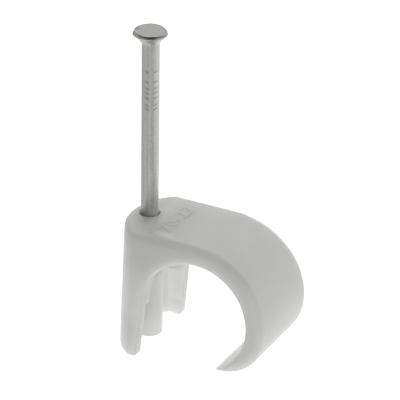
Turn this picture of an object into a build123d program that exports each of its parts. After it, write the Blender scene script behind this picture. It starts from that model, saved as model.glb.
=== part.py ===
from build123d import *
import math
import os

# A nail-in clip that holds one round cable against a wall. Lengths are in millimetres.
# The nail stands on the Z axis, Z = 0 is the wall, X runs from the nail to the hook
# and Y runs along the cable.

# Saddle for the cable
cable_radius = 11.0
cable_to_wall = 0.5            # the cable is held this far off the wall
saddle_to_nail = 3.75          # from the nail's axis to the saddle's near side
saddle_edge_break = 0.18       # blunt front and back edges of the saddle and the leg's end faces

# Arch and hook round the cable
crown_thickness = 3.35         # plastic above the cable
hook_wall = 3.33               # plastic on the far side of the cable
hook_lead = 0.12               # the arch's outside is centred this much nearer to the nail
hook_turn = 12.5               # degrees below level where the arch's outside tightens
hook_tuck = 5.53               # by this much, down to the lip
lip_angle = 25.2               # degrees from straight below the cable to the hook's blunt lip

# Moulded block that everything is cut from
body_half_width = 10.4         # at the wall, half the clip's length along the cable
nail_end_reach = 4.72          # from the nail's axis to the rounded end, at the wall
nail_end_bulge = 5.73          # of which this much is the end's curve
end_corner_radius = 1.3        # soft border of that end's face
mould_draft = 2.0              # degrees, the walls lean in towards the top
rim_radius = 1.7               # soft edges of the top, the arch and the hook

# Hollow leg round the nail
leg_foot_reach = 2.5           # from the nail's axis to the leg's end faces, at the wall
side_wall = 2.35               # front and back walls
end_wall = 1.3                 # rounded wall behind the nail
step_height = 10.6             # the pocket is wide below this and narrow above it
land_width = 3.5               # from the front face to the narrow pocket
narrow_reach = 4.65            # from the nail's axis to the narrow pocket's far end
narrow_corner = 2.1            # corner radius at that end
pocket_corner = 0.4            # corner radius beside the rounded wall
pocket_roof = 3.0              # plastic left above the narrow pocket
boss_wall = 0.93               # plastic round the nail
boss_web = 1.8                 # rib that ties the boss to the rounded wall

# Nail
shank_radius = 1.66
nail_length = 60.0
nail_point_height = 5.0
nail_point_flat = 0.25         # radius left at the very tip
head_radius = 3.12
head_rim = 0.75                # height of the head's side
head_cone = 1.8                # height of the cone below it
head_bevel = 0.15              # worn edge of the head's top
neck_ease = 0.4                # half the height of the slope between cone and shank
head_stands_off = 37.55        # head's top above the clip's top before it is driven
nail_clearance = 0.05          # between shank and bore, all round
mouth_flare = 0.42             # the bore widens by this at the clip's top
mouth_depth = 1.2              # over this depth

# Marks that the heading dies bit into the shank
grip_first = 7.75              # from the head's top to the first pair
grip_pitches = (0.0, 2.05, 3.35, 4.3, 5.35, 6.75, 7.55)
grip_depth = 0.12
grip_width = 0.85
grip_angle = 24.0              # degrees from level
grip_spread = 28.0             # degrees to either side of the ridge between the dies
grip_facing = -60.0            # degrees from X to that ridge

# Places that follow from the sizes above
nail_end_radius = (body_half_width**2 + nail_end_bulge**2) / (2 * nail_end_bulge)
saddle_x = saddle_to_nail + cable_radius
saddle_z = cable_to_wall + cable_radius
body_height = saddle_z + cable_radius + crown_thickness
hook_x = saddle_x - hook_lead
hook_radius = cable_radius + hook_wall + hook_lead
hook_z = body_height - hook_radius
hook_end_radius = hook_radius - hook_tuck
bore_radius = shank_radius + nail_clearance
boss_radius = bore_radius + boss_wall
roof_z = body_height - pocket_roof
head_top_z = body_height + head_stands_off
nail_tip_z = head_top_z - nail_length
draft_slope = math.tan(math.radians(mould_draft))
block_reach = hook_x + hook_radius + cable_radius
cut_margin = 2.0               # how far a cutting shape runs past what it cuts


def end_prism(side_inset, end_inset, right_x, bottom, top, end_corner=0.0, right_corner=0.0,
              taper=0.0):
    """Upright prism with the nail end's outline, its sides and its round end set in separately."""
    half_width = body_half_width - side_inset
    arc_radius = nail_end_radius - end_inset
    arc_x = nail_end_radius - nail_end_reach
    corner_x = arc_x - math.sqrt(arc_radius**2 - half_width**2)
    with BuildSketch(Plane.XY.offset(bottom)) as plan:
        with BuildLine():
            ThreePointArc((corner_x, half_width), (arc_x - arc_radius, 0), (corner_x, -half_width))
            Polyline((corner_x, -half_width), (right_x, -half_width), (right_x, half_width),
                     (corner_x, half_width))
        make_face()
        corners = plan.vertices().sort_by(Axis.X)
        if end_corner > 0:
            fillet(corners[:2], end_corner)
        if right_corner > 0:
            fillet(corners[-2:], right_corner)
    return extrude(plan.sketch, amount=top - bottom, taper=taper)


def side_profile():
    """Outline of the whole clip seen along the cable, with the saddle still filled in."""
    turn = math.radians(-hook_turn)
    lip = math.radians(-90 - lip_angle)
    arch_centre = Vector(hook_x, hook_z)
    end_centre = arch_centre + Vector(hook_tuck, 0).rotate(Axis.Z, -hook_turn)

    def on_arc(centre, radius, angle):
        return centre + Vector(radius * math.cos(angle), radius * math.sin(angle))

    crown = Vector(hook_x, body_height)
    turn_point = on_arc(arch_centre, hook_radius, turn)
    lip_end = on_arc(end_centre, hook_end_radius, lip)
    saddle_centre = Vector(saddle_x, saddle_z)
    with BuildSketch(Plane.XZ) as profile:
        with BuildLine():
            Polyline(saddle_centre, (leg_foot_reach + cut_margin, 0), (-block_reach, 0),
                     (-block_reach, body_height), crown)
            ThreePointArc(crown, on_arc(arch_centre, hook_radius, math.pi / 4), turn_point)
            ThreePointArc(turn_point, on_arc(end_centre, hook_end_radius, (turn + lip) / 2), lip_end)
            Line(lip_end, saddle_centre)
        make_face()
    return profile.sketch


def touch_point(outside, side):
    """Where a line from a point touches the saddle, above its centre (1) or below it (-1)."""
    to_centre = Vector(saddle_x, saddle_z) - outside
    length = math.sqrt(to_centre.length**2 - cable_radius**2)
    turn = math.degrees(math.asin(cable_radius / to_centre.length))
    return outside + (to_centre.normalized() * length).rotate(Axis.Z, side * turn)


def cable_way():
    """The cable's space: the saddle, and below it the gap beside the leg, closed under the wall."""
    foot = Vector(leg_foot_reach, 0)
    leg_top = touch_point(foot, 1)
    below = foot + (foot - leg_top).normalized() * cut_margin
    lower = touch_point(below, -1)
    with BuildSketch(Plane.XZ) as way:
        with BuildLine():
            Polyline(leg_top, below, lower)
            ThreePointArc(lower, Vector(saddle_x + cable_radius, saddle_z), leg_top)
        make_face()
    return extrude(way.sketch, amount=block_reach, both=True)


def saddle_slab():
    """Slab with the clip's sides and the cable's way through it, blunt along both of its rims."""
    bottom = -2 * cut_margin
    slab = end_prism(draft_slope * bottom, -cut_margin, block_reach, bottom, body_height + cut_margin,
                     taper=mould_draft)
    slab -= cable_way() - nail_boss()
    return chamfer(slab.edges().filter_by(is_way_rim), saddle_edge_break)


def is_way_rim(edge):
    """True for the cable way's edges in the slab's front and back faces."""
    middle = edge @ 0.5
    in_side = abs(middle.Y) > body_half_width - cut_margin
    return in_side and 0 < middle.X < block_reach - cut_margin and -cut_margin < middle.Z < body_height


def lip_trim():
    """Wedge from the saddle's axis that squares off the thin end of the hook."""
    lip = math.radians(lip_angle)
    centre = Vector(saddle_x, saddle_z)
    with BuildSketch(Plane.XZ) as wedge:
        with BuildLine():
            Polyline(centre, centre - Vector(0, block_reach),
                     centre + block_reach * Vector(math.sin(lip), -math.cos(lip)), close=True)
        make_face()
    return extrude(wedge.sketch, amount=body_half_width + cut_margin, both=True)


def is_rim(edge):
    """True for the front and back edges of the top, the arch and the hook."""
    start, end, middle = edge @ 0, edge @ 1, edge @ 0.5
    along_side = abs(start.Y - end.Y) < body_half_width
    return along_side and (middle.X > saddle_x or abs(middle.Z - body_height) < rim_radius)


def filled_block():
    """The clip's outside, before the saddle and the pockets are cut."""
    plan = end_prism(0, 0, block_reach, 0, body_height, taper=mould_draft)
    block = plan & extrude(side_profile(), amount=body_half_width + cut_margin, both=True)
    block = fillet(block.edges().filter_by(is_rim), rim_radius)
    nail_end = block.faces().sort_by(Axis.X)[0]
    return fillet(nail_end.edges().sort_by(Axis.Z)[1:], end_corner_radius)


def nail_boss():
    """Round post in the leg that the nail is driven through."""
    return Pos(0, 0, roof_z / 2) * Cylinder(boss_radius, roof_z)


def leg_pocket():
    """Hollow of the leg: wide near the wall, narrow and closed all round above the step."""
    wide = end_prism(side_wall, end_wall, saddle_to_nail, -cut_margin, step_height, pocket_corner)
    narrow = end_prism(land_width, end_wall + draft_slope * step_height, narrow_reach, -cut_margin,
                       roof_z, pocket_corner, narrow_corner)
    web = Pos(-nail_end_reach / 2, 0, roof_z / 2) * Box(nail_end_reach, boss_web, roof_z)
    return wide + narrow - nail_boss() - web


def clip_body():
    """The whole moulding: arch and hook, hollow leg, and the boss that holds the nail."""
    body = filled_block() & saddle_slab()
    body -= lip_trim() + leg_pocket()
    bore = Cylinder(bore_radius, 2 * body_height + cut_margin)
    mouth = Pos(0, 0, body_height - mouth_depth / 2) * Cone(bore_radius, bore_radius + mouth_flare,
                                                            mouth_depth)
    return body - bore - mouth


def nail():
    """The masonry nail: flat head, cone below it that eases into the shank, grip marks and point."""
    rim_z = head_top_z - head_rim
    ease_z = rim_z - head_cone + neck_ease
    ease_radius = shank_radius + (head_radius - shank_radius) * neck_ease / head_cone
    with BuildSketch(Plane.XZ) as profile:
        with BuildLine():
            Polyline(
                (0, nail_tip_z),
                (nail_point_flat, nail_tip_z),
                (shank_radius, nail_tip_z + nail_point_height),
                (shank_radius, ease_z - 2 * neck_ease),
                (ease_radius, ease_z),
                (head_radius, rim_z),
                (head_radius, head_top_z - head_bevel),
                (head_radius - head_bevel, head_top_z),
                (0, head_top_z),
                close=True,
            )
        make_face()
    blank = revolve(profile.sketch, Axis.Z)
    return blank - [grip_mark(side, drop) for drop in grip_pitches for side in (-1, 1)]


def grip_mark(side, drop):
    """One small V-shaped bite out of the shank."""
    turn = grip_facing + side * grip_spread
    height = head_top_z - grip_first - drop
    with BuildSketch(Plane.XZ) as bite:
        with BuildLine():
            Polyline((0, 0), (2 * grip_depth, grip_depth), (2 * grip_depth, -grip_depth), close=True)
        make_face()
    wedge = extrude(bite.sketch, amount=grip_width / 2, both=True)
    place = Pos(shank_radius - grip_depth, 0, 0) * Rot(side * grip_angle, 0, 0) * wedge
    return Pos(0, 0, height) * Rot(0, 0, turn) * place


os.makedirs("parts", exist_ok=True)
for name, solid in (("clip_body", clip_body()), ("nail", nail())):
    export_step(solid, f"parts/{name}.step")
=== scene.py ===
import math

import bmesh
import bpy
from mathutils import Matrix, Vector


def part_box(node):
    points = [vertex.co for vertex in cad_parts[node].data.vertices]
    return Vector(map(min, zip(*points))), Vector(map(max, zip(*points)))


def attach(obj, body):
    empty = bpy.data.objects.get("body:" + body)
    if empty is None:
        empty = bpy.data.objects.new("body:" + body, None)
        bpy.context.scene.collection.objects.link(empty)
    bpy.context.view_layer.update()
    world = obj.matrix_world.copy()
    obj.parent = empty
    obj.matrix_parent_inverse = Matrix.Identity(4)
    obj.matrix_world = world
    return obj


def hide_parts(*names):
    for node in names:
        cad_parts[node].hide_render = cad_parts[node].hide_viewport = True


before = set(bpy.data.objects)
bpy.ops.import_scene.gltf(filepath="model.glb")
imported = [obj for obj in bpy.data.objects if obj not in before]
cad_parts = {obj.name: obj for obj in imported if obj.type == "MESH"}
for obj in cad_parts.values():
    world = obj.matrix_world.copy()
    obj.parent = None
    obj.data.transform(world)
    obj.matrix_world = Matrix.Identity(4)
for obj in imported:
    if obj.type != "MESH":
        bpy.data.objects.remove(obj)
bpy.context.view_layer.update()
scene = bpy.context.scene
mm = 0.001                            # all sizes are in metres
print("frame loaded:", sorted(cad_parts))


# Helpers for node trees, meshes and materials

noiseSpan = (0.3, 0.7)                # nearly all of a noise texture's values lie between these


def addNode(tree, kind, settings=None, **values):
    node = tree.nodes.new(kind)
    for key, value in (settings or {}).items():
        setattr(node, key, value)
    for key, value in values.items():
        node.inputs[key].default_value = value
    return node


def link(tree, source, output, target, entry):
    tree.links.new(source.outputs[output], target.inputs[entry])


def maths(tree, operation, *values):
    # result of an operation on sockets and plain numbers
    node = addNode(tree, "ShaderNodeMath", {"operation": operation})
    for entry, value in enumerate(values):
        if isinstance(value, (int, float)):
            node.inputs[entry].default_value = value
        else:
            tree.links.new(value, node.inputs[entry])
    return node.outputs[0]


def ramp(tree, value, start, end, low, high, kind="LINEAR"):
    # node that turns the values from start to end into low to high, and holds them beyond
    node = addNode(tree, "ShaderNodeMapRange", {"interpolation_type": kind})
    for entry, number in (("From Min", start), ("From Max", end), ("To Min", low), ("To Max", high)):
        node.inputs[entry].default_value = number
    tree.links.new(value, node.inputs["Value"])
    return node


def addNoise(tree, place, output, size, octaves, roughness):
    noise = addNode(tree, "ShaderNodeTexNoise", Scale=1 / size, Detail=octaves, Roughness=roughness)
    link(tree, place, output, noise, "Vector")
    return noise


def spread(tree, noise, low, high):
    # socket with the noise stretched to a range that a shader input can use
    return ramp(tree, noise.outputs["Fac"], *noiseSpan, low, high).outputs["Result"]


def addBumps(tree, shader, layers):
    # each layer is a noise node and the height that it stands, the coarsest first
    below = None
    for noise, height in layers:
        bump = addNode(tree, "ShaderNodeBump", Strength=1.0, Distance=height)
        link(tree, noise, "Fac", bump, "Height")
        if below:
            link(tree, below, "Normal", bump, "Normal")
        below = bump
    link(tree, below, "Normal", shader, "Normal")


def newMaterial(name):
    material = bpy.data.materials.new(name)
    material.use_nodes = True
    tree = material.node_tree
    tree.nodes.clear()
    shader = addNode(tree, "ShaderNodeBsdfPrincipled")
    output = addNode(tree, "ShaderNodeOutputMaterial")
    link(tree, shader, "BSDF", output, "Surface")
    return material, tree, shader


def paint(thing, material):
    thing.data.materials.clear()
    thing.data.materials.append(material)


def newPiece(name, mesh):
    piece = bpy.data.objects.new(name, mesh)
    scene.collection.objects.link(piece)
    return piece


def evaluatedMesh(piece):
    view = bpy.context.evaluated_depsgraph_get()
    return bpy.data.meshes.new_from_object(piece.evaluated_get(view))


# Pale grey clip plastic: light goes a few millimetres into it

clipLook = {
    "colour": (0.72, 0.72, 0.712),
    "shadeShift": 0.012,              # the moulding's colour drifts by this much
    "roughness": (0.34, 0.46),
    "lightDepth": (4.0 * mm, 4.0 * mm, 4.0 * mm),
    "wave": (9.0 * mm, 2.0, 0.5),     # slow unevenness of the moulded walls: size, octaves, roughness
    "waveHeight": 0.02 * mm,
    "grain": (0.35 * mm, 3.0, 0.6),   # fine texture of the mould's spark-eroded faces
    "grainHeight": 0.004 * mm,
    # colours laid over regions of the same plastic: the three paler ones are painted light, the darker one
    # is painted shade
    "pale": (0.87, 0.87, 0.855),
    "paler": (0.97, 0.97, 0.955),
    "bossPale": (0.745, 0.745, 0.735),
    "dull": (0.61, 0.61, 0.602),
    "turned": (0.3, 0.8),             # a normal's share of an axis where a face begins to count, and does
}

# Painted light and painted shade on the moulding, region by region. Corners and soft borders are in mm.
# Each region is the same on the clip's front and back, unless it is frontOnly, and some colour only faces
# turned to one axis.
clipPaintedLight = {
    # painted light: the hollow's faces are paler
    "hollow": {"tint": "pale", "strength": 0.7, "soft": 0.35,
               "low": (-3.5, -1, -1), "high": (4.6, 7.9, 22.8)},
    # painted light: paler towards the bottom
    "foot": {"tint": "pale", "strength": 0.25, "soft": 3.5,
             "low": (-5, -1, -4), "high": (4.6, 11, 1.0)},
    # painted highlight along the crown's front edge
    "edgePaintedHighlight": {"tint": "pale", "strength": 0.5, "soft": 1.2, "frontOnly": True,
                  "low": (5.2, -6.9, 24.6), "high": (8.0, -6.6, 27)},
    # painted light where the nail's shadow falls on the crown in front of it
    "nailFront": {"tint": "pale", "strength": 0.45, "soft": 2.2, "frontOnly": True,
                  "low": (1.0, -4.8, 24.6), "high": (3.0, -2.6, 27)},
    # painted light on the front face near the nail end
    "legFront": {"tint": "pale", "strength": 0.4, "soft": 3.6, "frontOnly": True,
                 "low": (-2.6, -12, 9.5), "high": (2.2, -8.8, 17)},
    # painted light: the inner faces of the walls paler still
    "innerWalls": {"tint": "paler", "strength": 0.85, "soft": 1.2,
                   "low": (0.8, 6.8, 3.8), "high": (4.2, 7.7, 11)},
    # painted light: the boss paler than the rest of the plastic, besides cutting its subsurface light
    "boss": {"tint": "bossPale", "strength": 1.0, "soft": 0.3,
             "low": (-2.9, -1, -1), "high": (2.9, 2.9, 23)},
    # painted light: the boss paler towards its bottom
    "bossFoot": {"tint": "pale", "strength": 0.8, "soft": 7.0,
                 "low": (-2.9, -1, -1), "high": (2.9, 2.9, 0.5)},
    # painted shade on the crown's nail end
    "crownEnd": {"tint": "dull", "strength": 0.7, "soft": 2.4,
                 "low": (-6, -1, 24.0), "high": (0.2, 11, 27)},
    # painted shade on the end wall's faces turned to +X
    "endWall": {"tint": "dull", "strength": 0.8, "soft": 0.2, "turnedTo": "X",
                "low": (-4, 2.9, -1), "high": (1.6, 8.1, 23)},
    # painted shade on the legs' end faces turned to +X
    "legEnds": {"tint": "dull", "strength": 1.0, "soft": 1.2, "turnedTo": "X",
                "low": (1.9, 4.2, -1), "high": (6.5, 11, 19)},
    # painted shade on the lip's faces turned up
    "lip": {"tint": "dull", "strength": 1.0, "soft": 1.2, "turnedTo": "Z",
            "low": (8, -1, -1), "high": (15, 11, 3.2)},
}


def boxShare(tree, place, region):
    # the region's strength inside its box in the object's own space, 0 outside, with a soft border
    mirrored = addNode(tree, "ShaderNodeVectorMath", {"operation": "ABSOLUTE"})
    both = addNode(tree, "ShaderNodeSeparateXYZ")
    axes = addNode(tree, "ShaderNodeSeparateXYZ")
    link(tree, place, "Object", mirrored, 0)
    link(tree, mirrored, 0, both, "Vector")
    link(tree, place, "Object", axes, "Vector")
    share = None
    for axis in "XYZ":
        along = both if axis == "Y" and not region.get("frontOnly") else axes
        for corner, outward in (("low", -1), ("high", 1)):
            edge = region[corner]["XYZ".index(axis)] * mm
            end = edge + outward * region["soft"] * mm
            side = ramp(tree, along.outputs[axis], edge, end, 1.0, 0.0, "SMOOTHSTEP")
            inside = side.outputs["Result"]
            share = inside if share is None else maths(tree, "MULTIPLY", share, inside)
    return maths(tree, "MULTIPLY", share, region["strength"])


def facing(tree, place, axis, span):
    # 0 to 1 as the surface turns towards an axis of the object's own space
    axes = addNode(tree, "ShaderNodeSeparateXYZ")
    link(tree, place, "Normal", axes, "Vector")
    return ramp(tree, axes.outputs[axis], *span, 0.0, 1.0).outputs["Result"]


def tinted(tree, base, colour, share):
    blend = addNode(tree, "ShaderNodeMix", {"data_type": "RGBA"})
    blend.inputs["B"].default_value = colour + (1,)
    link(tree, base, "Result", blend, "A")
    tree.links.new(share, blend.inputs["Factor"])
    return blend


def driftingShade(tree, wave, look):
    shade = addNode(tree, "ShaderNodeMix", {"data_type": "RGBA"})
    for entry, shift in (("A", -look["shadeShift"]), ("B", look["shadeShift"])):
        shade.inputs[entry].default_value = tuple(level + shift for level in look["colour"]) + (1,)
    tree.links.new(spread(tree, wave, 0.0, 1.0), shade.inputs["Factor"])
    return shade


def makeClipPlastic(look, regions, name, lightShare):
    material, tree, shader = newMaterial(name)
    place = addNode(tree, "ShaderNodeTexCoord")
    wave = addNoise(tree, place, "Object", *look["wave"])
    grain = addNoise(tree, place, "Object", *look["grain"])
    shade = driftingShade(tree, wave, look)
    # each region mixes its tint of painted light and shade into the colour
    for region in regions.values():
        share = boxShare(tree, place, region)
        if "turnedTo" in region:
            share = maths(tree, "MULTIPLY", share, facing(tree, place, region["turnedTo"], look["turned"]))
        shade = tinted(tree, shade, look[region["tint"]], share)
    link(tree, shade, "Result", shader, "Base Color")
    tree.links.new(spread(tree, grain, *look["roughness"]), shader.inputs["Roughness"])
    addBumps(tree, shader, ((wave, look["waveHeight"]), (grain, look["grainHeight"])))
    # the nail swallows the light that enters the boss
    lit = ramp(tree, boxShare(tree, place, regions["boss"]), 0.0, 1.0, lightShare, 0.0)
    link(tree, lit, "Result", shader, "Subsurface Weight")
    shader.inputs["Subsurface Radius"].default_value = look["lightDepth"]
    shader.inputs["Subsurface Scale"].default_value = 1.0
    return material


# Zinc plating over drawn wire, dull and a little streaked

zincLook = {
    "tint": (1.0, 1.01, 0.95),
    "streakShade": 0.84,              # darkest streaks keep this share of the tone
    "speckShade": 0.76,
    "roughness": (0.30, 0.46),
    "streakWidth": 0.24 * mm,
    "streakLength": 7.0 * mm,
    "streakNoise": (1.0, 3.0, 0.55),  # size in streak widths and lengths, octaves, roughness
    "streakHeight": 0.012 * mm,
    "speck": (0.27 * mm, 2.0, 0.6),   # size, octaves, roughness
    "speckHeight": 0.006 * mm,
}


def makeNailZinc(look):
    material, tree, shader = newMaterial("nailZinc")
    place = addNode(tree, "ShaderNodeTexCoord")
    stretch = addNode(tree, "ShaderNodeMapping")
    across, along = 1 / look["streakWidth"], 1 / look["streakLength"]
    stretch.inputs["Scale"].default_value = (across, across, along)
    link(tree, place, "Object", stretch, "Vector")
    streak = addNoise(tree, stretch, "Vector", *look["streakNoise"])
    speck = addNoise(tree, place, "Object", *look["speck"])
    # the nail's tone holds painted light and painted shade round it, with its stains and the marks' painted
    # shade
    stainAndPaintedLightTone = addNode(tree, "ShaderNodeAttribute", {"attribute_name": "stainAndPaintedLightTone"})
    worn = maths(tree, "MULTIPLY", spread(tree, streak, look["streakShade"], 1.0),
                 spread(tree, speck, look["speckShade"], 1.0))
    colour = addNode(tree, "ShaderNodeVectorMath", {"operation": "SCALE"})
    colour.inputs[0].default_value = look["tint"]
    tree.links.new(maths(tree, "MULTIPLY", worn, stainAndPaintedLightTone.outputs["Fac"]), colour.inputs["Scale"])
    link(tree, colour, 0, shader, "Base Color")
    tree.links.new(spread(tree, speck, *look["roughness"]), shader.inputs["Roughness"])
    addBumps(tree, shader, ((streak, look["streakHeight"]), (speck, look["speckHeight"])))
    shader.inputs["Metallic"].default_value = 1.0
    return material


clipPlastic = makeClipPlastic(clipLook, clipPaintedLight, "greyClipPlastic", 1.0)
# the numerals are too thin for light to travel in
numeralPlastic = makeClipPlastic(clipLook, clipPaintedLight, "greyNumeralPlastic", 0.0)
nailZinc = makeNailZinc(zincLook)
paint(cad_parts["clip_body"], clipPlastic)
paint(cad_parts["nail"], nailZinc)
print("materials on the clip and the nail")


# Nail: one closed skin of rings, from the head's middle down to the point

nailLook = {
    "sides": 144,
    "shankRadius": 1.69 * mm,
    "rimDrop": 0.62 * mm,             # head's top down to the rim that the cone starts from
    "coneHeight": 1.95 * mm,
    "coneEase": 1.35,                 # above 1 the cone runs out softly into the shank
    "coneRings": 12,
    "pointHeight": 5.0 * mm,
    "pointRadius": 0.25 * mm,
    "pointRings": 6,
    "sharpFrom": math.radians(50),    # edges that turn by more than this stay crisp
    # the worn head in degrees from +X and mm: its flat top, and the rim below it
    "topOutline": ((-152, 3.14), (-116, 2.9), (-96, 2.96), (-80, 3.22), (-58, 3.04), (-32, 3.26),
                   (-8, 3.36), (8, 3.2), (20, 3.09), (36, 2.92), (53, 2.84), (70, 2.98), (90, 3.18),
                   (122, 3.4), (150, 3.3), (180, 3.18)),
    "rimOutline": ((-153, 3.42), (-124, 3.38), (-103, 3.3), (-82, 3.05), (-64, 2.88), (-42, 2.95),
                   (-28, 3.25), (-12, 3.34), (24, 3.24), (90, 3.1), (150, 3.2)),
    # share of the top's radius, drop in mm, strength of the stain
    "faceRings": ((0.4, 0, 0), (0.7, 0, 0.2), (0.8, 0, 1), (0.9, 0, 1), (0.97, 0, 1), (0.995, 0.02, 1),
                  (1.0, 0.06, 1)),
    # share of the way out to the rim, drop in mm, strength of the fold
    "sideRings": ((0.05, 0.1, 0.1), (0.3, 0.2, 0.8), (0.6, 0.33, 1.0), (0.85, 0.46, 0.6)),
    "foldCentre": -61,                # the die left a fold under this side of the head, darkened by the rim's painted shade
    "foldSpread": 27,
    "foldDepth": 0.45 * mm,
    "seamAt": -68.3,                  # fine ridge where the two dies met
    "seamSpread": 3.2,
    "seamHeight": 0.006 * mm,
    "flatAt": -53,                    # shallow flat beside it
    "flatSpread": 11,
    "flatDepth": 0.03 * mm,
    "marksFrom": 7.0 * mm,            # stretch of closer rings, measured from the head's top
    "marksTo": 16.5 * mm,
    "markRing": 0.075 * mm,
    "plainRing": 1.2 * mm,
}

# Tone of the zinc by degrees round the nail: painted light and painted shade, with the stains dab and
# smudge
zincPaintedLightAndStains = {
    # painted shade: the head's top darker than the shank
    "face": 0.225,
    "dab": (-170, 12, 0.58),          # stain on the face: where, how wide, share of the tone kept
    # painted shade round the head's side, darkest in the fold
    "rim": ((-160, 0.26), (-125, 0.2), (-98, 0.12), (-78, 0.08), (-45, 0.08), (-30, 0.15), (-10, 0.28),
            (15, 0.36), (60, 0.36), (150, 0.32)),
    "coneFrom": 0.55,                 # share of the head's side where the cone's tone sets in
    # painted light on the cone
    "cone": ((-150, 0.44), (-115, 0.40), (-95, 0.47), (-80, 0.59), (-68, 0.72), (-50, 0.72), (-40, 0.8),
             (-25, 0.72), (0, 0.5), (27, 0.46), (90, 0.42), (180, 0.45)),
    "smudge": (-62, 15, 0.7),         # stain on the cone
    "smudgeAt": 0.55,                 # its place and reach as shares of the cone's height
    "smudgeReach": 0.3,
    "shankFrom": 0.7,                 # share of the cone's height where the shank's tone sets in
    # painted light and painted shade round the shank
    "shank": ((-150, 0.345), (-118, 0.33), (-105, 0.38), (-97, 0.41), (-87, 0.40), (-78, 0.375),
              (-73, 0.385), (-68, 0.43), (-63, 0.375), (-57, 0.355), (-42, 0.355), (-37, 0.43),
              (-30, 0.50), (-20, 0.53), (0, 0.54), (27, 0.46), (90, 0.40), (180, 0.38)),
    # painted light on the shank near the clip's top
    "footPaintedLight": ((-120, 1.0), (-75, 1.0), (-60, 1.25), (-40, 1.3), (27, 1.2), (90, 1.0), (180, 1.0)),
    "footFrom": 5.0 * mm,             # above the clip's top, where that lift begins to fade
    "footTo": 13.0 * mm,
}


def degreesApart(first, second):
    return (first - second + 180) % 360 - 180


def roundValue(outline, turn):
    # value at this turn, on straight lines between the outline's corners
    corners = sorted((angle % 360, value) for angle, value in outline)
    corners = [(corners[-1][0] - 360, corners[-1][1])] + corners + [(corners[0][0] + 360, corners[0][1])]
    turn = turn % 360
    for (low, lowValue), (high, highValue) in zip(corners, corners[1:]):
        if low <= turn <= high:
            return lowValue + (highValue - lowValue) * (turn - low) / (high - low)


def bell(apart, spreadOut):
    return math.exp(-(apart / spreadOut) ** 2)


def blend(first, second, share):
    return first + (second - first) * share


def shares(count):
    return [(step + 1) / count for step in range(count)]


def stain(spot, turn, strength=1.0):
    # share of the tone that a stain leaves at this turn
    centre, width, kept = spot
    return 1 - (1 - kept) * strength * bell(degreesApart(turn, centre), width)


def shankRadiusAt(look, turn):
    seam = look["seamHeight"] * bell(degreesApart(turn, look["seamAt"]), look["seamSpread"])
    flat = look["flatDepth"] * bell(degreesApart(turn, look["flatAt"]), look["flatSpread"])
    return look["shankRadius"] + seam - flat


# Each ring below is a function of the turn that gives radius, height and tone, the tone holding painted
# light and painted shade with the stains

def headRings(look, tones, top):
    def topRadius(turn):
        return mm * roundValue(look["topOutline"], turn)

    def foldAt(turn):
        return look["foldDepth"] * bell(degreesApart(turn, look["foldCentre"]), look["foldSpread"]) ** 0.5

    def face(share, drop, dab):
        def ring(turn):
            return share * topRadius(turn), top - drop, tones["face"] * stain(tones["dab"], turn, dab)
        return ring

    def side(share, drop, fold):
        def ring(turn):
            rimRadius = mm * roundValue(look["rimOutline"], turn)
            radius = blend(topRadius(turn), rimRadius, share) - fold * foldAt(turn)
            rim, cone = roundValue(tones["rim"], turn), roundValue(tones["cone"], turn)
            return radius, top - drop, blend(rim, cone, max(0, share - tones["coneFrom"]))
        return ring

    rings = [face(share, drop * mm, dab) for share, drop, dab in look["faceRings"]]
    rings += [side(share, drop * mm, fold) for share, drop, fold in look["sideRings"]]
    return rings + [side(1.0, look["rimDrop"], 0.0)]


def coneRing(look, tones, top, share):
    height = top - look["rimDrop"] - share * look["coneHeight"]
    smudge = bell(share - tones["smudgeAt"], tones["smudgeReach"])
    toShank = max(0, share - tones["shankFrom"]) / (1 - tones["shankFrom"])

    def ring(turn):
        start, end = mm * roundValue(look["rimOutline"], turn), shankRadiusAt(look, turn)
        cone = roundValue(tones["cone"], turn) * stain(tones["smudge"], turn, smudge)
        stainAndPaintedLightTone = blend(cone, roundValue(tones["shank"], turn), toShank)
        return blend(end, start, (1 - share) ** look["coneEase"]), height, stainAndPaintedLightTone
    return ring


def shankRing(look, tones, crown, height):
    fade = (height - crown - tones["footFrom"]) / (tones["footTo"] - tones["footFrom"])
    near = 1 - min(1, max(0, fade))

    def ring(turn):
        # painted light near the clip
        lift = blend(1, roundValue(tones["footPaintedLight"], turn), near)
        return shankRadiusAt(look, turn), height, roundValue(tones["shank"], turn) * lift
    return ring


def pointRing(look, tones, start, tip, share):
    radius = blend(look["shankRadius"], look["pointRadius"], share)
    return lambda turn: (radius, blend(start, tip, share), roundValue(tones["shank"], turn))


def shankHeights(look, top, start, end):
    # rings stand closer where the grip marks are
    heights, height = [], start
    while height > end:
        toMarks = look["marksFrom"] - (top - height)
        pastMarks = top - height > look["marksTo"]
        height -= look["plainRing"] if pastMarks else max(look["markRing"], min(look["plainRing"], toMarks))
        heights.append(max(height, end))
    return heights


def nailRings(look, tones, top, tip, crown):
    coneEnd, shankEnd = top - look["rimDrop"] - look["coneHeight"], tip + look["pointHeight"]
    heights = shankHeights(look, top, coneEnd, shankEnd)
    rings = headRings(look, tones, top)
    rings += [coneRing(look, tones, top, share) for share in shares(look["coneRings"])]
    rings += [shankRing(look, tones, crown, height) for height in heights]
    return rings + [pointRing(look, tones, shankEnd, tip, share) for share in shares(look["pointRings"])]


def ringFaces(sides, last):
    # point 0 is the head's middle, then come the rings, and the last point is the tip
    faces = []
    for side in range(sides):
        after = (side + 1) % sides
        faces.append((0, 1 + side, 1 + after))
        faces.append((last, last - sides + after, last - sides + side))
        for start in range(1, last - sides, sides):
            faces.append((start + side, start + sides + side, start + sides + after, start + after))
    return faces


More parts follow.
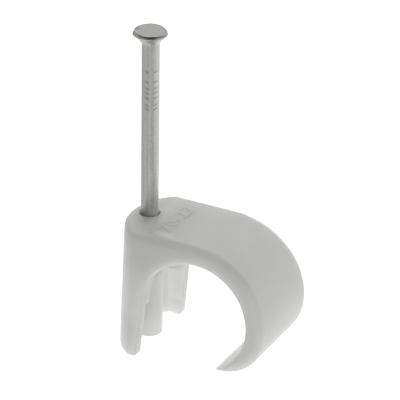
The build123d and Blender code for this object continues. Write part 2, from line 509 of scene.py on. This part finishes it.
def makeNail(look, tones):
    low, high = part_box("nail")
    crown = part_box("clip_body")[1].z
    points, shades = [(0, 0, high.z)], [tones["face"]]
    for ring in nailRings(look, tones, high.z, low.z, crown):
        for step in range(look["sides"]):
            turn = 360 * step / look["sides"]
            radius, height, stainAndPaintedLightTone = ring(turn)
            angle = math.radians(turn)
            points.append((radius * math.cos(angle), radius * math.sin(angle), height))
            shades.append(stainAndPaintedLightTone)
    points.append((0, 0, low.z))
    shades.append(tones["face"])
    mesh = bpy.data.meshes.new("nail")
    mesh.from_pydata(points, [], ringFaces(look["sides"], len(points) - 1))
    mesh.attributes.new("stainAndPaintedLightTone", "FLOAT", "POINT").data.foreach_set("value", shades)
    mesh.polygons.foreach_set("use_smooth", [True] * len(mesh.polygons))
    mesh.update()
    return newPiece("drivenNail", mesh)


# Grip marks: short bites in two rows beside the seam, pressed in by a node tree

gripLook = {
    "First mark": 7.75 * mm,          # from the head's top
    "Facing": math.radians(-57),
    "Spread": math.radians(30),
    "Tilt": math.radians(27),
    "Mark length": 0.72 * mm,
    "Bite depth": 0.12 * mm,
    "Bite width": 0.23 * mm,
    "Bite shade": 0.65,               # share of the tone that is lost in a mark
}
gripDrops = (0.0, 2.05, 3.35, 4.3, 5.35, 6.75, 7.55)     # mm below the first pair


def newGripTree(look):
    tree = bpy.data.node_groups.new("gripMarks", "GeometryNodeTree")
    tree.is_modifier = True
    sockets = tree.interface
    sockets.new_socket("Geometry", in_out="OUTPUT", socket_type="NodeSocketGeometry")
    sockets.new_socket("Geometry", in_out="INPUT", socket_type="NodeSocketGeometry")
    for name in [*look, "Top", "Shank radius"]:
        sockets.new_socket(name, in_out="INPUT", socket_type="NodeSocketFloat")
    sockets.new_socket("Finish", in_out="INPUT", socket_type="NodeSocketMaterial")
    return tree


def addVector(tree, **values):
    # vector from sockets, by axis
    vector = addNode(tree, "ShaderNodeCombineXYZ")
    for axis, value in values.items():
        tree.links.new(value, vector.inputs[axis])
    return vector


def addStrokes(tree, given, drops):
    # a short line for every mark: odd points on one side of the seam, even ones on the other
    index = addNode(tree, "GeometryNodeInputIndex").outputs[0]
    row = maths(tree, "FLOOR", maths(tree, "DIVIDE", index, 2))
    side = maths(tree, "SUBTRACT", maths(tree, "MULTIPLY", maths(tree, "MODULO", index, 2), 2), 1)
    pick = addNode(tree, "GeometryNodeIndexSwitch", {"data_type": "FLOAT"})
    while len(pick.index_switch_items) < len(drops):
        pick.index_switch_items.new()
    for step, drop in enumerate(drops):
        pick.inputs[1 + step].default_value = drop * mm
    tree.links.new(row, pick.inputs[0])

    turn = maths(tree, "ADD", given["Facing"], maths(tree, "MULTIPLY", side, given["Spread"]))
    first = maths(tree, "SUBTRACT", given["Top"], given["First mark"])
    height = maths(tree, "SUBTRACT", first, pick.outputs[0])
    place = addVector(tree, X=maths(tree, "MULTIPLY", given["Shank radius"], maths(tree, "COSINE", turn)),
                      Y=maths(tree, "MULTIPLY", given["Shank radius"], maths(tree, "SINE", turn)), Z=height)
    points = addNode(tree, "GeometryNodePoints", Count=2 * len(drops))
    link(tree, place, 0, points, "Position")

    half = maths(tree, "MULTIPLY", given["Mark length"], 0.5)
    stroke = addNode(tree, "GeometryNodeMeshLine", {"mode": "END_POINTS"}, Count=2)
    link(tree, addVector(tree, Y=maths(tree, "MULTIPLY", half, -1)), 0, stroke, "Start Location")
    link(tree, addVector(tree, Y=half), 0, stroke, "Offset")
    marks = addNode(tree, "GeometryNodeInstanceOnPoints")
    link(tree, points, 0, marks, "Points")
    link(tree, stroke, 0, marks, "Instance")
    lean = addVector(tree, X=maths(tree, "MULTIPLY", side, given["Tilt"]), Z=turn)
    link(tree, lean, 0, marks, "Rotation")
    strokes = addNode(tree, "GeometryNodeRealizeInstances")
    link(tree, marks, 0, strokes, 0)
    return strokes


def makeGripTree(look, drops):
    tree = newGripTree(look)
    given = addNode(tree, "NodeGroupInput").outputs
    result = addNode(tree, "NodeGroupOutput")
    near = addNode(tree, "GeometryNodeProximity", {"target_element": "EDGES"})
    link(tree, addStrokes(tree, given, drops), 0, near, 0)
    bite = ramp(tree, near.outputs["Distance"], 0.0, 1.0, 1.0, 0.0, "SMOOTHSTEP")
    tree.links.new(given["Bite width"], bite.inputs["From Max"])

    # push the skin towards the nail's axis
    here = addNode(tree, "GeometryNodeInputPosition")
    level = addNode(tree, "ShaderNodeVectorMath", {"operation": "MULTIPLY"})
    level.inputs[1].default_value = (1, 1, 0)
    outward = addNode(tree, "ShaderNodeVectorMath", {"operation": "NORMALIZE"})
    inward = addNode(tree, "ShaderNodeVectorMath", {"operation": "SCALE"})
    link(tree, here, 0, level, 0)
    link(tree, level, 0, outward, 0)
    link(tree, outward, 0, inward, 0)
    depth = maths(tree, "MULTIPLY", maths(tree, "MULTIPLY", bite.outputs[0], given["Bite depth"]), -1)
    tree.links.new(depth, inward.inputs["Scale"])
    pressed = addNode(tree, "GeometryNodeSetPosition")
    tree.links.new(given["Geometry"], pressed.inputs["Geometry"])
    link(tree, inward, 0, pressed, "Offset")

    # darken it there
    stainAndPaintedLightTone = addNode(tree, "GeometryNodeInputNamedAttribute", {"data_type": "FLOAT"}, Name="stainAndPaintedLightTone")
    toneKind = {"data_type": "FLOAT", "domain": "POINT"}
    shaded = addNode(tree, "GeometryNodeStoreNamedAttribute", toneKind, Name="stainAndPaintedLightTone")
    left = maths(tree, "SUBTRACT", 1, maths(tree, "MULTIPLY", bite.outputs[0], given["Bite shade"]))
    link(tree, pressed, 0, shaded, "Geometry")
    tree.links.new(maths(tree, "MULTIPLY", stainAndPaintedLightTone.outputs[0], left), shaded.inputs["Value"])
    whole = addNode(tree, "GeometryNodeRealizeInstances")
    finish = addNode(tree, "GeometryNodeSetMaterial")
    link(tree, shaded, 0, whole, 0)
    link(tree, whole, 0, finish, "Geometry")
    tree.links.new(given["Finish"], finish.inputs["Material"])
    link(tree, finish, 0, result, 0)
    return tree


def pressGripMarks(piece, look, drops, shankRadius, finish):
    values = {**look, "Top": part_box("nail")[1].z, "Shank radius": shankRadius, "Finish": finish}
    press = piece.modifiers.new("gripMarks", "NODES")
    press.node_group = makeGripTree(look, drops)
    for socket in press.node_group.interface.items_tree:
        if socket.in_out == "INPUT" and socket.name in values:
            press[socket.identifier] = values[socket.name]
    mesh = evaluatedMesh(piece)
    piece.modifiers.remove(press)
    piece.data = mesh


nail = makeNail(nailLook, zincPaintedLightAndStains)
pressGripMarks(nail, gripLook, gripDrops, nailLook["shankRadius"], nailZinc)
nail.data.set_sharp_from_angle(angle=nailLook["sharpFrom"])
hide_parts("nail")
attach(nail, "nail_body")
print("nail:", len(nail.data.polygons), "faces")


# Raised size numerals on the crown, plain figures for the cable's thickness

numeralLook = {
    "text": "20-22",
    "spacing": 1.2,
    "size": 4.1 * mm,
    "relief": 0.005 * mm,
    "softEdge": 0.022 * mm,
    "edgeSteps": 2,
    "centre": (6.0 * mm, -0.1 * mm),
    "turn": math.radians(90),         # read along +Y, tops towards the nail
    "mergeWithin": 0.001 * mm,
}


def makeNumerals(look):
    letters = bpy.data.curves.new("sizeNumerals", "FONT")
    letters.body = look["text"]
    letters.size = look["size"]
    letters.space_character = look["spacing"]
    letters.align_x = "CENTER"
    letters.align_y = "CENTER"
    letters.extrude = look["relief"]
    letters.bevel_depth = look["softEdge"]
    letters.bevel_resolution = look["edgeSteps"]
    letters.offset = -look["softEdge"] / 2                 # keeps the strokes as thick as the font's
    drawn = newPiece("numeralCurve", letters)
    mesh = evaluatedMesh(drawn)
    bpy.data.objects.remove(drawn)
    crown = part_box("clip_body")[1].z
    place = Matrix.Translation((*look["centre"], crown)) @ Matrix.Rotation(look["turn"], 4, "Z")
    mesh.transform(place)
    work = bmesh.new()
    work.from_mesh(mesh)
    bmesh.ops.remove_doubles(work, verts=work.verts, dist=look["mergeWithin"])
    bmesh.ops.recalc_face_normals(work, faces=work.faces)
    work.to_mesh(mesh)
    work.free()
    return newPiece("sizeNumerals", mesh)


numerals = makeNumerals(numeralLook)
paint(numerals, numeralPlastic)
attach(numerals, "clip")
print("numerals:", len(numerals.data.polygons), "faces")


# Room: a pale floor under a white background, with soft lamps all round

roomLook = {
    "floorSize": 3.0,
    "floorGap": 0.5 * mm,             # lets the table's light in under the leg
    "floorColour": (0.8, 0.8, 0.8, 1),
    "floorGlow": 0.5,                 # the floor's glow, painted light that stands in for what the pale table throws back up at the object
    "floorWhite": 0.68,               # brings the floor up to the background's white
    "farWhite": 0.97,                 # and further out, where the lamps reach it less
    "whiteSpan": (0.15, 0.9),         # from the origin to where the one begins and the other is reached
    "mirroredWhite": 0.80,            # the same in the nail's gloss
    "aim": (12 * mm, 0, 18 * mm),
    "lampSize": 0.36,
    "lampDistance": 0.6,
}

lamps = {                             # degrees from +X, degrees above the floor, watts
    "overhead": (0, 90, 0.61),
    "behind": (90, 12, 1.54),
    "behindLeft": (135, 42, 0.64),
    "left": (180, 42, 0.50),
    "right": (45, 12, 0.49),
    "frontRight": (315, 12, 0.80),
}


def seenDirectly(tree):
    # 1 for rays from the camera, from gloss and through glass, else 0
    path = addNode(tree, "ShaderNodeLightPath").outputs
    first = maths(tree, "MAXIMUM", path["Is Camera Ray"], path["Is Glossy Ray"])
    return maths(tree, "MAXIMUM", first, path["Is Transmission Ray"])


def whiteLevel(tree, look):
    # the paper's own light where it is seen: more of it further out, and one level in gloss
    place = addNode(tree, "ShaderNodeTexCoord")
    distance = addNode(tree, "ShaderNodeVectorMath", {"operation": "LENGTH"})
    link(tree, place, "Object", distance, 0)
    outward = ramp(tree, distance.outputs["Value"], *look["whiteSpan"],
                   look["floorWhite"], look["farWhite"])
    path = addNode(tree, "ShaderNodeLightPath")
    level = addNode(tree, "ShaderNodeMix", {"data_type": "FLOAT"})
    level.inputs["A"].default_value = look["mirroredWhite"]
    link(tree, outward, "Result", level, "B")
    link(tree, path, "Is Camera Ray", level, "Factor")
    return level


def makePaper(look):
    material = bpy.data.materials.new("paperWhite")
    material.use_nodes = True
    tree = material.node_tree
    tree.nodes.clear()
    paper = addNode(tree, "ShaderNodeBsdfDiffuse", Color=look["floorColour"])
    glow = addNode(tree, "ShaderNodeEmission", Strength=look["floorGlow"])
    white = addNode(tree, "ShaderNodeEmission")
    link(tree, whiteLevel(tree, look), "Result", white, "Strength")
    pick = addNode(tree, "ShaderNodeMixShader")
    both = addNode(tree, "ShaderNodeAddShader")
    output = addNode(tree, "ShaderNodeOutputMaterial")
    tree.links.new(seenDirectly(tree), pick.inputs[0])
    link(tree, glow, 0, pick, 1)
    link(tree, white, 0, pick, 2)
    link(tree, pick, 0, both, 0)
    link(tree, paper, 0, both, 1)
    link(tree, both, 0, output, "Surface")
    return material


def makeFloor(look):
    half, below = look["floorSize"] / 2, -look["floorGap"]
    corners = [(-half, -half, below), (half, -half, below), (half, half, below), (-half, half, below)]
    mesh = bpy.data.meshes.new("paperFloor")
    mesh.from_pydata(corners, [], [(0, 1, 2, 3)])
    mesh.materials.append(makePaper(look))
    newPiece("paperFloor", mesh)


def makeWorld():
    world = bpy.data.worlds.new("paleRoom")
    world.use_nodes = True
    tree = world.node_tree
    tree.nodes.clear()
    white = addNode(tree, "ShaderNodeBackground", Color=(1, 1, 1, 1))
    output = addNode(tree, "ShaderNodeOutputWorld")
    tree.links.new(seenDirectly(tree), white.inputs["Strength"])
    link(tree, white, 0, output, "Surface")
    scene.world = world


def makeLamp(name, turn, height, power, look):
    lamp = bpy.data.lights.new(name, "AREA")
    lamp.size = look["lampSize"]
    lamp.energy = power
    holder = newPiece(name, lamp)
    aside, up = math.radians(turn), math.radians(height)
    way = Vector((math.cos(up) * math.cos(aside), math.cos(up) * math.sin(aside), math.sin(up)))
    holder.location = Vector(look["aim"]) + look["lampDistance"] * way
    holder.rotation_euler = (-way).to_track_quat("-Z", "Y").to_euler()


makeFloor(roomLook)
makeWorld()
for name, (turn, height, power) in lamps.items():
    makeLamp(name, turn, height, power, roomLook)
scene.view_settings.view_transform = "Standard"
print("room and lamps")


# Camera at the photograph's place

cameraLook = {
    "eye": (0.19786, -0.36313, 0.23834),
    "target": (0.010747, 0.0, 0.031088),
    "roll": math.radians(0.955),
    "lens": 219.18,
    "sensor": 36,                     # its width, in the same millimetres as the lens
    "sees": (0.01, 20),               # nearest and furthest
}


def makeCamera(look):
    camera = bpy.data.cameras.new("viewer")
    camera.lens = look["lens"]
    camera.sensor_width = look["sensor"]
    camera.clip_start, camera.clip_end = look["sees"]
    holder = newPiece("viewer", camera)
    eye, target = Vector(look["eye"]), Vector(look["target"])
    turn = (target - eye).to_track_quat("-Z", "Y").to_matrix().to_4x4()
    holder.matrix_world = Matrix.Translation(eye) @ turn @ Matrix.Rotation(look["roll"], 4, "Z")
    scene.camera = holder


makeCamera(cameraLook)
print("camera")
